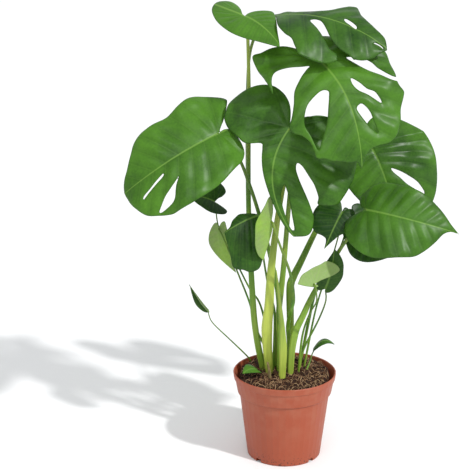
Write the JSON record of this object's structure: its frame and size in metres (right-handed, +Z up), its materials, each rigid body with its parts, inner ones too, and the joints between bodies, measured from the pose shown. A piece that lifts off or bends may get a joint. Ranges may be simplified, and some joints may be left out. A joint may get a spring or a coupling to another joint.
{
  "type": "potted monstera plant",
  "caption": "Young split-leaf monstera with heart-shaped and perforated leaves on upright stalks, growing from soil in a round tapered plastic nursery pot.",
  "frame": {"origin": "centre of the pot's underside, on the floor", "axes": "+Z up along the pot's axis, +X to the plant's right as seen from its front, +Y towards its back"},
  "size_m": [0.5206, 0.2554, 0.7443],
  "materials": {
    "pot": "matte moulded terracotta-coloured plastic, dusty on the outside",
    "soil": "damp peat and coir potting mix",
    "leaf": "waxy mid to dark green leaf with a soft sheen and paler veins",
    "leaf_pale": "matte pale grey-green leaf, underside outward",
    "stalk": "smooth satin green stalk",
    "sheath": "pale yellow-green satin leaf sheath",
    "dry": "dull straw-coloured withered stalk"
  },
  "bodies": {
    "root": {"pot": "pot", "soil": "soil", "leaf_high_left": "leaf", "leaf_crown": "leaf", "leaf_upper_split": "leaf", "leaf_middle_split": "leaf", "leaf_left": "leaf", "leaf_right_rear": "leaf", "leaf_right": "leaf", "leaf_right_shade": "leaf", "leaf_small_left_fold": "leaf", "leaf_small_left_pale": "leaf_pale", "leaf_small_left_dark": "leaf", "leaf_small_curled": "leaf_pale", "leaf_small_right_heart": "leaf", "leaf_small_right_pale": "leaf_pale", "leaf_small_right_round": "leaf", "leaf_sprout_left": "leaf", "leaf_sprout_right": "leaf", "leaf_soil_seedling": "leaf", "stalk_high_left": "stalk", "stalk_crown": "stalk", "stalk_upper_split": "stalk", "stalk_middle_split": "stalk", "stalk_left": "stalk", "stalk_right_rear": "stalk", "stalk_right": "stalk", "stalk_right_shade": "stalk", "stalk_small_left_fold": "stalk", "stalk_small_left_pale": "stalk", "stalk_small_left_dark": "stalk", "stalk_small_curled": "stalk", "stalk_small_right_heart": "stalk", "stalk_small_right_pale": "stalk", "stalk_small_right_round": "stalk", "stalk_sprout_left": "stalk", "stalk_sprout_right": "stalk", "stalk_soil_seedling": "stalk", "sheath_centre": "sheath", "stub_withered": "dry"}
  },
  "joints": []
}
